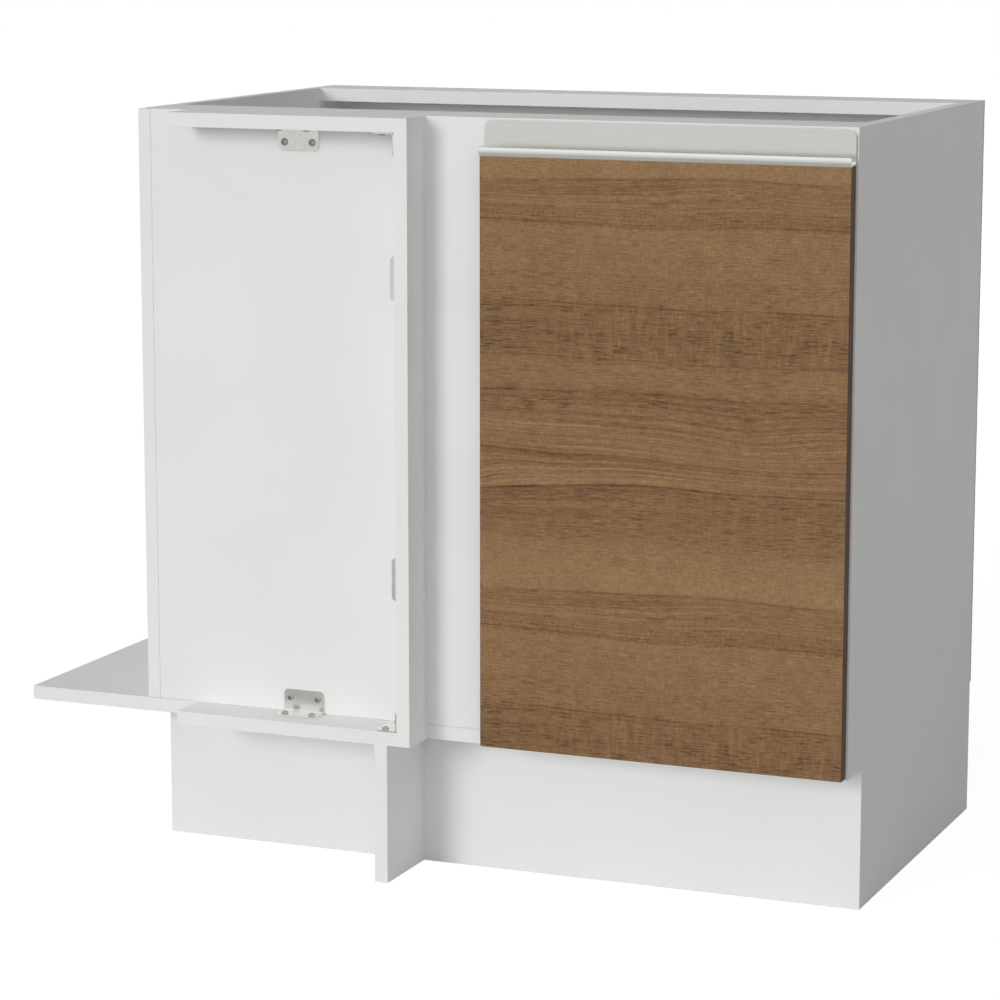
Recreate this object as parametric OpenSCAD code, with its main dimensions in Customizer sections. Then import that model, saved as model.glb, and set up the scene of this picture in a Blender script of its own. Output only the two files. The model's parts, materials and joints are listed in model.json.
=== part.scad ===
// Corner base cabinet: one hinged door on the right, a fixed front panel on the left
// with an open spacer frame on its face, and a bottom panel that runs on into the corner.
// Lengths are in millimetres. Z is up, Y runs from the door to the back, and X runs from
// the corner on the left to the door's hinges on the right. The modules are written from
// the carcass's left, front, floor corner, and placed() moves them to the part's own frame.

/* [Carcass] */
// Thickness of every board
board_t = 15; // [15:1:18]
// Width of the carcass over its two sides
carcass_w = 800; // [760:10:1000]
// Height from the floor to the top of the sides
carcass_h = 810; // [760:10:900]
// Depth of the sides, without the back panel
side_d = 482; // [420:1:600]
// Thickness of the back panel
back_t = 3; // [3:1:6]
// Width of the two flat rails at the top
rail_w = 60; // [60:5:100]
// Width of the fixed front panel
fixed_w = 400; // [360:10:440]
// Height of the strip over the door opening
strip_h = 60; // [50:5:80]

/* [Corner end] */
// Reach of the bottom panel past the left side
ext_w = 145; // [100:5:200]
// Projection of the spacer frame in front of the fixed panel
spacer_d = 47; // [42:1:70]
// Distance from the carcass's left face to the open end of the spacer frame
spacer_inset = 60; // [30:5:100]
// Distance from the spacer frame's outer face to the door's edge
spacer_clear = 68; // [50:1:90]

/* [Plinth] */
// Height of the plinth
plinth_h = 150; // [120:10:200]
// Setback of the plinth behind the carcass front
plinth_setback = 50; // [40:5:70]
// Distance from the spacer's outer face to the return board
return_inset = 26; // [15:1:60]

/* [Brackets] */
// Width of each leaf of an angle bracket
bracket_leaf = 25; // [23:1:30]
// Thickness of the bracket's steel
bracket_t = 1.5; // [1:0.5:2.5]
// Outer radius of the bracket's bend
bracket_bend_r = 3; // [3:0.5:4]
// Radius of the bracket's free corners
bracket_corner_r = 5; // [2:1:6]
// Spacing of the two holes in a leaf
bracket_pitch = 32; // [26:1:34]
// Distance of the holes from the bracket's heel
bracket_line = 16; // [14:1:18]
// Diameter of the holes in a bracket
bracket_hole_d = 4.5; // [4.2:0.1:5]
// Distance from the spacer's open end to the middle of the two brackets there
bracket_inset = 130.5; // [100:0.5:150]
// Heights of the two brackets on the upright, above the plinth
bracket_low_z = 170; // [120:5:220]
bracket_high_z = 490; // [440:5:520]

/* [Shelf] */
// Height of the shelf's underside above the plinth
shelf_z = 320; // [290:10:340]
// Setback of the shelf behind the carcass front
shelf_setback = 30; // [25:5:100]
// Clearance round the shelf
shelf_gap = 1; // [0.5:0.5:3]

/* [Door] */
// Overlap of the door over the fixed panel
door_lap = 12; // [8:1:14]
// Thickness of the door
door_t = 15; // [15:1:18]
// Gap between the door and the carcass front
door_gap = 2; // [2:0.5:3]
// Gap from the door's edges to the carcass's right face and underside
door_reveal = 2; // [1.5:0.5:3]
// Thickness of the door's edge band
band_t = 0.5; // [0.4:0.1:1]
// Diameter of a door bumper
bumper_d = 8; // [6:1:10]
// Distance of the bumpers from the door's top and bottom edges
bumper_inset = 18; // [12:1:40]

/* [Handle] */
// Height of the profile's back plate above the wood
plate_h = 35; // [30:1:40]
// Gap from the back plate's top to the top of the carcass
plate_gap = 2; // [1:0.5:5]
// Thickness of the back plate
plate_t = 1.3; // [1:0.1:2]
// Radius of the back plate's top corners
plate_corner_r = 8; // [4:1:12]
// Thickness of the profile's base, over the door's top edge
base_t = 1.4; // [1.2:0.1:2]
// Projection of the lip in front of the door's face
lip_out = 3.2; // [2.5:0.1:5]
// Thickness of the lip beside the finger channel
lip_t = 2.4; // [2:0.1:2.5]
// Height of the lip above the wood
lip_up = 8.6; // [7:0.1:12]
// Overlap of the lip below the door's top edge
lip_down = 2; // [1.5:0.1:3]
// Radius of the lip's rounded lower front
lip_r = 6.7; // [6.6:0.1:9]
// Radius of the lip's upper front edge
lip_top_r = 1; // [0.6:0.1:1.2]

/* [Hinges] */
// Distance of the hinges from the door's bottom edge and the wood's top edge
hinge_inset = 100; // [80:5:130]
// Distance of the door's turning axis from the carcass's right face
axis_in = 7; // [6.5:0.1:7.5]
// Diameter of the hinge cup
cup_d = 35; // [34:1:38]
// Depth of the hinge cup
cup_depth = 11.2; // [10.8:0.1:11.5]
// Wall of the hinge cup
cup_wall = 0.8; // [0.7:0.1:1]
// Distance from the door's edge to the hinge cup
cup_edge = 3; // [2.6:0.1:3.4]
// Half width of the cup's pocket beside its pin
cup_pocket = 7.5; // [7:0.1:8]
// Thickness of the cup's flange
flange_t = 1.2; // [1:0.1:1.4]
// Distance of the cup's screws from its centre, across the door
flange_line = 9.5; // [8.5:0.5:11]
// Half spacing of the cup's screws, up and down the door
flange_pitch = 22.5; // [22:0.5:26]
// Width of the flange's ears
flange_w = 13; // [12:0.5:14]
// Diameter of the hinge pins
pin_d = 2.2; // [2:0.1:2.4]
// Half width of the link
link_half_w = 4.2; // [4:0.1:4.4]
// Thickness of the link's steel
link_t = 1; // [0.9:0.1:1.1]
// Rise of the link's bow
link_bow = 4; // [3.6:0.1:4.4]
// Half width of the arm
arm_half_w = 6; // [5.8:0.1:6.4]
// Thickness of the arm's steel
arm_t = 1.4; // [1.2:0.1:1.5]
// Height of the arm's web above the side
arm_h = 13.5; // [13:0.1:14]
// Length of the arm behind the carcass front
arm_l = 66; // [62:1:80]
// Distance of the mounting plate's screws from the side's front edge
plate_line = 37; // [34:1:42]
// Half spacing of the mounting plate's screws
plate_pitch = 16; // [15:1:18]
// Thickness of the mounting plate's wings
wing_t = 1.3; // [1:0.1:1.4]
// Width of the mounting plate's wings
wing_w = 14; // [12:1:18]

/* [Fasteners] */
// Diameter of a dowel
dowel_d = 8; // [6:1:8]
// Length of a dowel
dowel_l = 30; // [25:1:35]
// Depth of a dowel in the face of a board
dowel_in = 9; // [8:0.5:10]
// Diameter of a cam lock
cam_d = 15; // [12:1:15]
// Depth of a cam lock
cam_depth = 12; // [11:0.5:12.5]
// Distance of a cam lock from the end of its board
cam_in = 24; // [20:1:34]
// Diameter of a cam bolt
bolt_d = 6; // [5:0.5:6]
// Depth of a cam bolt in the side
bolt_in = 10; // [8:0.5:11]
// Diameter of the long screws under the left side and into the plinth
long_screw_d = 5; // [4:0.5:5]
// Length of the long screws
long_screw_l = 50; // [40:5:60]
// Diameter of the small screws in the brackets, the hinges and the handle
screw_d = 3.5; // [3:0.5:4]
// Depth of the small screws in the wood
screw_in = 12; // [10:0.5:12]
// Diameter of the heads on the brackets and the mounting plates
head_d = 8; // [7:0.5:8]
// Height of the heads on the brackets and the mounting plates
head_h = 2.4; // [2:0.1:2.8]
// Diameter of the heads on the handle, the cups and the arms
pan_d = 7; // [6:0.5:7.5]
// Height of the heads on the handle, the cups and the arms
pan_h = 1.6; // [1.2:0.1:2]
// Diameter of a shelf support's stem
stem_d = 5; // [4:0.5:6]
// Depth of a shelf support's stem in the side
stem_in = 8; // [7:0.5:10]
// Clearance round a fastener in its hole
fit_gap = 0.05; // [0.02:0.01:0.1]

/* [Hidden] */
$fn = 48;

board_white = "whitesmoke";
door_brown = "peru";
band_brown = "saddlebrown";
back_tan = "tan";
dowel_tan = "burlywood";
zinc = "lightsteelblue";
nickel = "silver";

// Overshoot of a cut past the face that it opens
cut = 1;

// Spans of the boards, each as [low, high]
left_x = [0, board_t];
right_x = [carcass_w - board_t, carcass_w];
inside_x = [board_t, carcass_w - board_t];
side_y = [0, side_d];
front_y = [0, board_t];
floor_z = [plinth_h, plinth_h + board_t];
top_z = [carcass_h - board_t, carcass_h];
front_rail_y = [board_t, board_t + rail_w];
rear_rail_y = [side_d - rail_w, side_d];
fixed_x = [board_t, board_t + fixed_w];
strip_x = [board_t + fixed_w, carcass_w - board_t];
strip_z = [carcass_h - strip_h, carcass_h];
back_y = [side_d, side_d + back_t];
total_d = spacer_d + side_d + back_t;

// Spans of the door
door_x = [fixed_x[1] - door_lap, carcass_w - door_reveal];
door_y = [-door_gap - door_t, -door_gap];
door_z = [plinth_h + door_reveal, carcass_h - plate_gap - plate_h];
door_w = door_x[1] - door_x[0];

// Spans of the spacer frame
upright_x = [door_x[0] - spacer_clear - board_t, door_x[0] - spacer_clear];
spacer_x = [spacer_inset, upright_x[0]];
spacer_y = [-spacer_d, 0];
return_x = [upright_x[1] - return_inset - board_t, upright_x[1] - return_inset];

// Spans of the plinth
plinth_front_y = [plinth_setback, plinth_setback + board_t];
plinth_rear_y = [side_d - board_t, side_d];

// Spans of the shelf
shelf_x = [board_t + shelf_gap, carcass_w - board_t - shelf_gap];
shelf_y = [shelf_setback, side_d - shelf_gap];
shelf_board_z = [plinth_h + shelf_z, plinth_h + shelf_z + board_t];
support_l = 10;
support_w = 8;
support_h = 6;
support_inset = 40;

// Clearance of a bumper from the panel that it lands on
bumper_gap = 0.1;

// Hinge: the turning axis, the cup's centre and the two pins, in plan
hinge_zs = [door_z[0] + hinge_inset, door_z[1] - hinge_inset];
axis_xy = [carcass_w - axis_in, door_y[0] + door_t / 2];
cup_x = door_x[1] - cup_edge - cup_d / 2;
cup_r = cup_d / 2;
arm_pin_in = 10.5;
arm_pin_drop = 3.5;
cup_pin_in = 3;
cup_pin_rise = 4.5;
arm_pin_xy = [cup_x - arm_pin_in, -door_gap - arm_pin_drop];
cup_pin_xy = [axis_xy[0] - cup_pin_in, axis_xy[1] + cup_pin_rise];
pin_gap = 0.05;
slot_gap = 0.4;
eye_wall = 0.8;
open_angle = 95;

// The cup pin comes nearest to the arm pin part way through the door's travel
near_pin = norm(arm_pin_xy - axis_xy) - norm(cup_pin_xy - axis_xy);
far_pin = max(norm(arm_pin_xy - cup_pin_xy), norm(arm_pin_xy - turned(cup_pin_xy, open_angle)));
link_turn = atan2(cup_pin_xy[1] - arm_pin_xy[1], cup_pin_xy[0] - arm_pin_xy[0]);
eye_r = pin_d / 2 + slot_gap + eye_wall;

// Cup: the edge of its round inside towards the pin, and the seat of the pin in its walls
pocket_edge = 4.5;
cup_pin_seat = 1.6;

// Arm: its web over the side, its foot, its bend, its neck and nose, and its screws
arm_eye_wall = 1.6;
arm_eye_r = pin_d / 2 + arm_eye_wall;
arm_foot_gap = 0.3;
arm_bend_y = 22;
arm_neck = 7;
web_start = 0.45;
arm_pin_over = 0.6;
arm_back_x = right_x[0] - arm_h;
arm_foot_x = right_x[0] - wing_t - arm_foot_gap;
arm_screw_front = 8;
arm_screw_rear = 12;
arm_screw_ys = [arm_bend_y + arm_screw_front, arm_l - arm_screw_rear];
arm_screw_tip = 1;

// Mounting plate: its block inside the arm, clear of the arm's cheeks and ends
block_side_gap = 0.2;
block_end_gap = 1;
block_half_w = arm_half_w - arm_t - block_side_gap;

// Places of the dowels along X: [joint face, y, z, length on the low side]
edge_in = dowel_l - dowel_in;
rail_ys = [for (y = [front_rail_y, rear_rail_y]) (y[0] + y[1]) / 2];
fixed_mid_zs = [for (k = [1, 3, 5]) floor_z[1] + (carcass_h - floor_z[1]) * k / 6];
board_mid = board_t / 2;
left_dowels = concat(
    [for (y = rail_ys) [left_x[1], y + rail_w / 4, carcass_h - board_mid, dowel_in]],
    [for (z = fixed_mid_zs) [left_x[1], board_mid, z, dowel_in]]
);
right_dowels = concat(
    [for (y = rail_ys) [right_x[0], y + rail_w / 4, carcass_h - board_mid, edge_in]],
    [for (k = [1, 2]) [right_x[0], side_d * k / 3, plinth_h + board_mid, edge_in]],
    [[right_x[0], board_mid, carcass_h - strip_h / 2, edge_in]]
);
strip_dowels = [[strip_x[0], board_mid, carcass_h - strip_h / 2, dowel_l / 2]];

// Places of the dowels along Z, under the fixed panel: [x, y, joint face, length below]
floor_dowels = [for (k = [1, 3]) [fixed_x[0] + fixed_w * k / 4, board_mid, floor_z[1], dowel_in]];

// Places of the dowels along Y, in the plinth: [x, joint face, z, length on the low side]
plinth_zs = [plinth_h / 4, plinth_h * 3 / 4];
plinth_xs = [board_mid, carcass_w - board_mid];
corner_dowels = concat(
    [for (x = plinth_xs, z = plinth_zs) [x, plinth_front_y[1], z, dowel_in]],
    [for (x = plinth_xs, z = plinth_zs) [x, plinth_rear_y[0], z, edge_in]]
);
return_dowels = [for (z = plinth_zs) [(return_x[0] + return_x[1]) / 2, plinth_setback, z, edge_in]];

// Places of the cam locks: [joint face, y, underside of the board, direction into the board]
rail_cams = [
    for (y = rail_ys, f = [[left_x[1], 1], [right_x[0], -1]]) [f[0], y - rail_w / 4, top_z[0], f[1]]
];
floor_cam_edge = 60;
floor_cams = [
    for (y = [floor_cam_edge, side_d / 2, side_d - floor_cam_edge]) [right_x[0], y, plinth_h, -1]
];

// Places of the long screws, the nails, the small screws and the supports
side_screw_ys = [for (k = [1, 3, 5]) side_d * k / 6];
plinth_screw_xs = [carcass_w / 4, carcass_w * 3 / 4];
plinth_screw_ys = [plinth_front_y[0] + board_mid, plinth_rear_y[0] + board_mid];
long_head_d = 8;
long_head_h = 3;
nail_d = 1.6;
nail_l = 18;
nail_head_d = 4;
nail_head_h = 1;
nail_edge = 60;
nail_zs = [for (k = [0:5]) plinth_h + nail_edge + (carcass_h - plinth_h - 2 * nail_edge) * k / 5];
nail_xs = [for (k = [1, 3, 5]) carcass_w * k / 6];
handle_screw_xs = [for (k = [1, 3, 5]) door_x[0] + door_w * k / 6];
handle_screw_y = door_y[0] + door_t / 2;
plate_fillet_r = 2;
channel_fillet_r = 1;

// Places of the brackets: [heel, turns, side of the heel that the upright leaf is on]
bracket_l = spacer_d;
bracket_mid_x = spacer_inset + bracket_inset;
bracket_mid_y = -spacer_d / 2;
bracket_places = [
    [[bracket_mid_x, 0, top_z[0]], [0, 0, 0], -1],
    [[bracket_mid_x, 0, floor_z[1]], [0, 0, 0], 1],
    [[upright_x[0], bracket_mid_y, top_z[0]], [0, 0, -90], -1],
    [[upright_x[0], bracket_mid_y, floor_z[1]], [0, 0, -90], 1],
    [[upright_x[0], 0, plinth_h + bracket_high_z], [0, -90, 0], 1],
    [[upright_x[0], 0, plinth_h + bracket_low_z], [0, -90, 0], 1]
];

function turned(p, a) = axis_xy + [
    (p[0] - axis_xy[0]) * cos(a) - (p[1] - axis_xy[1]) * sin(a),
    (p[0] - axis_xy[0]) * sin(a) + (p[1] - axis_xy[1]) * cos(a)
];

// Moves the carcass's corner so that the part stands centred on its own frame
module placed() {
    translate([(ext_w - carcass_w) / 2, spacer_d - total_d / 2, 0]) children();
}

// A box given by its spans
module slab(x, y, z) {
    translate([x[0], y[0], z[0]]) cube([x[1] - x[0], y[1] - y[0], z[1] - z[0]]);
}

module rod_x(p, d, l) {
    translate(p) rotate([0, 90, 0]) cylinder(d = d, h = l);
}

module rod_y(p, d, l) {
    translate(p) rotate([-90, 0, 0]) cylinder(d = d, h = l);
}

module rod_z(p, d, l) {
    translate(p) cylinder(d = d, h = l);
}

// Dowels at the listed places, or their holes where grow is the clearance
module dowels_x(places, grow = 0) {
    for (p = places) {
        rod_x([p[0] - p[3] - grow, p[1], p[2]], dowel_d + 2 * grow, dowel_l + 2 * grow);
    }
}

module dowels_y(places, grow = 0) {
    for (p = places) {
        rod_y([p[0], p[1] - p[3] - grow, p[2]], dowel_d + 2 * grow, dowel_l + 2 * grow);
    }
}

module dowels_z(places, grow = 0) {
    for (p = places) {
        rod_z([p[0], p[1], p[2] - p[3] - grow], dowel_d + 2 * grow, dowel_l + 2 * grow);
    }
}

// Cam locks and their bolts, or their holes
module cams(places, grow = 0) {
    for (p = places) {
        rod_z([p[0] + p[3] * cam_in, p[1], p[2] - grow], cam_d + 2 * grow, cam_depth + 2 * grow);
    }
}

module bolts(places, grow = 0) {
    for (p = places) {
        low = p[3] > 0 ? p[0] - bolt_in : p[0] - cam_in + bolt_d / 2;
        rod_x(
            [low - grow, p[1], p[2] + board_mid],
            bolt_d + 2 * grow,
            bolt_in + cam_in - bolt_d / 2 + 2 * grow
        );
    }
}

// Long screws driven up into the left side, or their holes
module side_screw_set(grow = 0) {
    for (y = side_screw_ys) {
        rod_z([board_mid, y, plinth_h - grow], long_head_d + 2 * grow, long_head_h + 2 * grow);
        rod_z([board_mid, y, plinth_h], long_screw_d + 2 * grow, long_screw_l + grow);
    }
}

// Long screws driven down into the plinth, or their holes
module plinth_screw_set(grow = 0) {
    for (x = plinth_screw_xs, y = plinth_screw_ys) {
        rod_z([x, y, floor_z[1] - long_head_h - grow], long_head_d + 2 * grow, long_head_h + 2 * grow);
        rod_z([x, y, floor_z[1] - long_screw_l - grow], long_screw_d + 2 * grow, long_screw_l + grow);
    }
}

// Nails through the back panel, or their holes
module nail(p, grow) {
    rod_y([p[0], back_y[1] - nail_l - grow, p[1]], nail_d + 2 * grow, nail_l + grow);
    rod_y([p[0], back_y[1] - nail_head_h - grow, p[1]], nail_head_d + 2 * grow, nail_head_h + 2 * grow);
}

module side_nails(x, grow = 0) {
    for (z = nail_zs) {
        nail([x, z], grow);
    }
}

module row_nails(z, grow = 0) {
    for (x = nail_xs) {
        nail([x, z], grow);
    }
}

// Shelf supports: a round stem in the side and a flat block under the shelf
module support_stems(face, inward, grow = 0) {
    for (y = [shelf_y[0] + support_inset, shelf_y[1] - support_inset]) {
        low = inward > 0 ? face - stem_in : face;
        rod_x(
            [low - grow, y, shelf_board_z[0] - support_h / 2],
            stem_d + 2 * grow,
            stem_in + 2 * grow
        );
    }
}

module support_blocks(face, inward) {
    for (y = [shelf_y[0] + support_inset, shelf_y[1] - support_inset]) {
        slab(
            inward > 0 ? [face, face + support_l] : [face - support_l, face],
            [y - support_w / 2, y + support_w / 2],
            [shelf_board_z[0] - support_h, shelf_board_z[0]]
        );
    }
}

// Small screws of the brackets in a bracket's own place, or their holes in the wood
module at_bracket(i) {
    place = bracket_places[i];
    translate(place[0]) rotate(place[1]) scale([1, 1, place[2]]) children();
}

module leaf_screws(i, grow = 0) {
    at_bracket(i) {
        for (x = [-bracket_pitch / 2, bracket_pitch / 2]) {
            rod_z([x, -bracket_line, -screw_in - grow], screw_d + 2 * grow, screw_in + bracket_t + grow);
            rod_y([x, -bracket_t, bracket_line], screw_d + 2 * grow, screw_in + bracket_t + grow);
        }
    }
}

module leaf_heads(i) {
    at_bracket(i) {
        for (x = [-bracket_pitch / 2, bracket_pitch / 2]) {
            rod_z([x, -bracket_line, bracket_t], head_d, head_h);
            rod_y([x, -bracket_t - head_h, bracket_line], head_d, head_h);
        }
    }
}

// Carcass

module left_side() {
    color(board_white) placed() difference() {
        slab(left_x, side_y, [floor_z[1], carcass_h]);
        dowels_x(left_dowels, fit_gap);
        bolts(rail_cams, fit_gap);
        side_screw_set(fit_gap);
        support_stems(left_x[1], 1, fit_gap);
        side_nails(board_mid, fit_gap);
    }
}

module right_side() {
    color(board_white) placed() difference() {
        slab(right_x, side_y, [plinth_h, carcass_h]);
        dowels_x(right_dowels, fit_gap);
        bolts(concat(rail_cams, floor_cams), fit_gap);
        support_stems(right_x[0], -1, fit_gap);
        side_nails(carcass_w - board_mid, fit_gap);
        for (z = hinge_zs) {
            plate_screws(z, fit_gap);
        }
    }
}

module bottom_panel() {
    color(board_white) placed() difference() {
        slab([-ext_w, right_x[0]], side_y, floor_z);
        dowels_x(right_dowels, fit_gap);
        dowels_z(floor_dowels, fit_gap);
        cams(floor_cams, fit_gap);
        bolts(floor_cams, fit_gap);
        side_screw_set(fit_gap);
        plinth_screw_set(fit_gap);
        row_nails(plinth_h + board_mid, fit_gap);
    }
}

module front_rail() {
    color(board_white) placed() difference() {
        slab(inside_x, front_rail_y, top_z);
        dowels_x(concat(left_dowels, right_dowels), fit_gap);
        cams(rail_cams, fit_gap);
        bolts(rail_cams, fit_gap);
    }
}

module rear_rail() {
    color(board_white) placed() difference() {
        slab(inside_x, rear_rail_y, top_z);
        dowels_x(concat(left_dowels, right_dowels), fit_gap);
        cams(rail_cams, fit_gap);
        bolts(rail_cams, fit_gap);
        row_nails(carcass_h - board_mid, fit_gap);
    }
}

module front_strip() {
    color(board_white) placed() difference() {
        slab(strip_x, front_y, strip_z);
        dowels_x(concat(right_dowels, strip_dowels), fit_gap);
    }
}

module fixed_front() {
    color(board_white) placed() difference() {
        slab(fixed_x, front_y, [floor_z[1], carcass_h]);
        dowels_x(concat(left_dowels, strip_dowels), fit_gap);
        dowels_z(floor_dowels, fit_gap);
        for (i = [0, 1, 4, 5]) {
            leaf_screws(i, fit_gap);
        }
    }
}

module back_panel() {
    color(back_tan) placed() difference() {
        slab([0, carcass_w], back_y, [plinth_h, carcass_h]);
        side_nails(board_mid, fit_gap);
        side_nails(carcass_w - board_mid, fit_gap);
        row_nails(plinth_h + board_mid, fit_gap);
        row_nails(carcass_h - board_mid, fit_gap);
    }
}

module shelf() {
    color(board_white) placed() slab(shelf_x, shelf_y, shelf_board_z);
}

module shelf_supports() {
    color(zinc) placed() {
        support_stems(left_x[1], 1);
        support_stems(right_x[0], -1);
        support_blocks(left_x[1], 1);
        support_blocks(right_x[0], -1);
    }
}

// Plinth

module plinth_front() {
    color(board_white) placed() difference() {
        slab([0, carcass_w], plinth_front_y, [0, plinth_h]);
        dowels_y(concat(corner_dowels, return_dowels), fit_gap);
        plinth_screw_set(fit_gap);
    }
}

module plinth_rear() {
    color(board_white) placed() difference() {
        slab([0, carcass_w], plinth_rear_y, [0, plinth_h]);
        dowels_y(corner_dowels, fit_gap);
        plinth_screw_set(fit_gap);
    }
}

module plinth_side(x) {
    difference() {
        slab(x, [plinth_front_y[1], plinth_rear_y[0]], [0, plinth_h]);
        dowels_y(corner_dowels, fit_gap);
    }
}

module plinth_left() {
    color(board_white) placed() plinth_side(left_x);
}

module plinth_right() {
    color(board_white) placed() plinth_side(right_x);
}

module plinth_return() {
    color(board_white) placed() difference() {
        slab(return_x, [-spacer_d, plinth_setback], [0, plinth_h]);
        dowels_y(return_dowels, fit_gap);
    }
}

// Spacer frame

module spacer_top() {
    color(board_white) placed() difference() {
        slab(spacer_x, spacer_y, top_z);
        leaf_screws(0, fit_gap);
        leaf_screws(2, fit_gap);
    }
}

module spacer_upright() {
    color(board_white) placed() difference() {
        slab(upright_x, spacer_y, [plinth_h, carcass_h]);
        for (i = [2, 3, 4, 5]) {
            leaf_screws(i, fit_gap);
        }
    }
}

module spacer_bottom() {
    color(board_white) placed() difference() {
        slab(spacer_x, spacer_y, floor_z);
        leaf_screws(1, fit_gap);
        leaf_screws(3, fit_gap);
    }
}

// Angle brackets: the long way runs along X, one leaf lies flat and the other stands

module bracket_profile() {
    inner_r = bracket_bend_r - bracket_t;
    translate([-bracket_leaf, 0]) square([bracket_leaf - bracket_bend_r, bracket_t]);
    translate([-bracket_t, bracket_bend_r]) square([bracket_t, bracket_leaf - bracket_bend_r]);
    intersection() {
        translate([-bracket_bend_r, 0]) square(bracket_bend_r);
        translate([-bracket_bend_r, bracket_bend_r]) difference() {
            circle(r = bracket_bend_r);
            circle(r = inner_r);
        }
    }
}

// What a cut takes off a square corner to round it
module round_off(r) {
    difference() {
        square(r + cut);
        circle(r = r);
    }
}

module bracket(i) {
    half = bracket_l / 2;
    reach = bracket_corner_r;
    through = bracket_t + 2 * cut;
    color(zinc) placed() at_bracket(i) difference() {
        translate([-half, 0, 0]) rotate([90, 0, 90]) linear_extrude(bracket_l) bracket_profile();
        for (s = [-1, 1]) {
            translate([s * (half - reach), -bracket_leaf + reach, -cut])
                scale([s, -1, 1]) linear_extrude(through) round_off(bracket_corner_r);
            translate([s * (half - reach), cut, bracket_leaf - reach])
                rotate([90, 0, 0]) scale([s, 1, 1]) linear_extrude(through) round_off(bracket_corner_r);
            rod_z([s * bracket_pitch / 2, -bracket_line, -cut], bracket_hole_d, through);
            rod_y([s * bracket_pitch / 2, -bracket_t - cut, bracket_line], bracket_hole_d, through);
        }
    }
}

module bracket_top_mid() {
    bracket(0);
}

module bracket_bottom_mid() {
    bracket(1);
}

module bracket_top_corner() {
    bracket(2);
}

module bracket_bottom_corner() {
    bracket(3);
}

module bracket_upright_upper() {
    bracket(4);
}

module bracket_upright_lower() {
    bracket(5);
}

module bracket_screws() {
    color(zinc) placed() {
        for (i = [0:5]) {
            leaf_screws(i);
            leaf_heads(i);
        }
    }
}

// Fasteners

module dowels() {
    color(dowel_tan) placed() {
        dowels_x(concat(left_dowels, right_dowels, strip_dowels));
        dowels_z(floor_dowels);
        dowels_y(concat(corner_dowels, return_dowels));
    }
}

module cam_locks() {
    color(nickel) placed() difference() {
        cams(concat(rail_cams, floor_cams));
        bolts(concat(rail_cams, floor_cams), fit_gap);
    }
}

module cam_bolts() {
    color(zinc) placed() bolts(concat(rail_cams, floor_cams));
}

module side_screws() {
    color(zinc) placed() side_screw_set();
}

module plinth_screws() {
    color(zinc) placed() plinth_screw_set();
}

module back_nails() {
    color(zinc) placed() {
        side_nails(board_mid);
        side_nails(carcass_w - board_mid);
        row_nails(plinth_h + board_mid);
        row_nails(carcass_h - board_mid);
    }
}

// Door

module door_panel() {
    color(door_brown) placed() difference() {
        slab([door_x[0] + band_t, door_x[1] - band_t], door_y, [door_z[0] + band_t, door_z[1]]);
        handle_screw_set(fit_gap);
        for (z = hinge_zs) {
            rod_y([cup_x, -door_gap - cup_depth - fit_gap, z], cup_d + 2 * fit_gap, cup_depth + cut);
            cup_screws(z, fit_gap);
        }
    }
}

module door_edge_band() {
    color(band_brown) placed() {
        slab([door_x[0], door_x[0] + band_t], door_y, door_z);
        slab([door_x[1] - band_t, door_x[1]], door_y, door_z);
        slab([door_x[0] + band_t, door_x[1] - band_t], door_y, [door_z[0], door_z[0] + band_t]);
    }
}

module door_bumpers() {
    bumper_x = (door_x[0] + fixed_x[1]) / 2;
    color("gainsboro") placed() {
        for (z = [door_z[0] + bumper_inset, door_z[1] - bumper_inset]) {
            rod_y([bumper_x, -door_gap, z], bumper_d, door_gap - bumper_gap);
        }
    }
}

// Handle: a J-shaped profile over the door's top edge, with a finger channel behind its lip

module profile_fillet(r) {
    difference() {
        square(r);
        translate([r, r]) circle(r = r);
    }
}

module lip_section() {
    front = -lip_out;
    curve_h = sqrt(lip_r * lip_r - (lip_r - lip_out) * (lip_r - lip_out));
    intersection() {
        translate([front, -lip_down]) square([lip_out, lip_up + lip_down]);
        union() {
            translate([front, curve_h - lip_down]) square([lip_out, lip_up]);
            translate([front + lip_r, curve_h - lip_down]) circle(r = lip_r, $fn = 96);
        }
    }
}

module handle_section() {
    channel_x = lip_t - lip_out;
    difference() {
        union() {
            lip_section();
            square([door_t, base_t]);
        }
        translate([channel_x, base_t]) square([lip_out, lip_up]);
        translate([-lip_out, lip_up - lip_top_r]) rim_corner(lip_top_r);
    }
    translate([door_t - plate_t, 0]) square([plate_t, plate_h]);
    translate([door_t - plate_t, base_t]) mirror([1, 0]) profile_fillet(plate_fillet_r);
    translate([channel_x, base_t]) profile_fillet(channel_fillet_r);
}

module rim_corner(r) {
    difference() {
        square(r);
        translate([r, 0]) circle(r = r);
    }
}

module handle_screw_set(grow = 0) {
    for (x = handle_screw_xs) {
        rod_z(
            [x, handle_screw_y, door_z[1] - screw_in - grow],
            screw_d + 2 * grow,
            screw_in + base_t + 2 * grow
        );
    }
}

module handle_profile() {
    color("lightgray") placed() difference() {
        translate([door_x[0], door_y[0], door_z[1]])
            rotate([90, 0, 90]) linear_extrude(door_w) handle_section();
        for (s = [-1, 1]) {
            edge = s < 0 ? door_x[0] : door_x[1];
            translate([edge - s * plate_corner_r, cut, door_z[1] + plate_h - plate_corner_r])
                rotate([90, 0, 0]) scale([s, 1, 1]) linear_extrude(door_gap + plate_t + 2 * cut)
                    round_off(plate_corner_r);
        }
        handle_screw_set(fit_gap);
    }
}

module handle_screws() {
    color(zinc) placed() {
        handle_screw_set();
        for (x = handle_screw_xs) {
            rod_z([x, handle_screw_y, door_z[1] + base_t], pan_d, pan_h);
        }
    }
}

// Concealed hinges: a cup in the door, a bowed link, and an arm on a plate on the side

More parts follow.
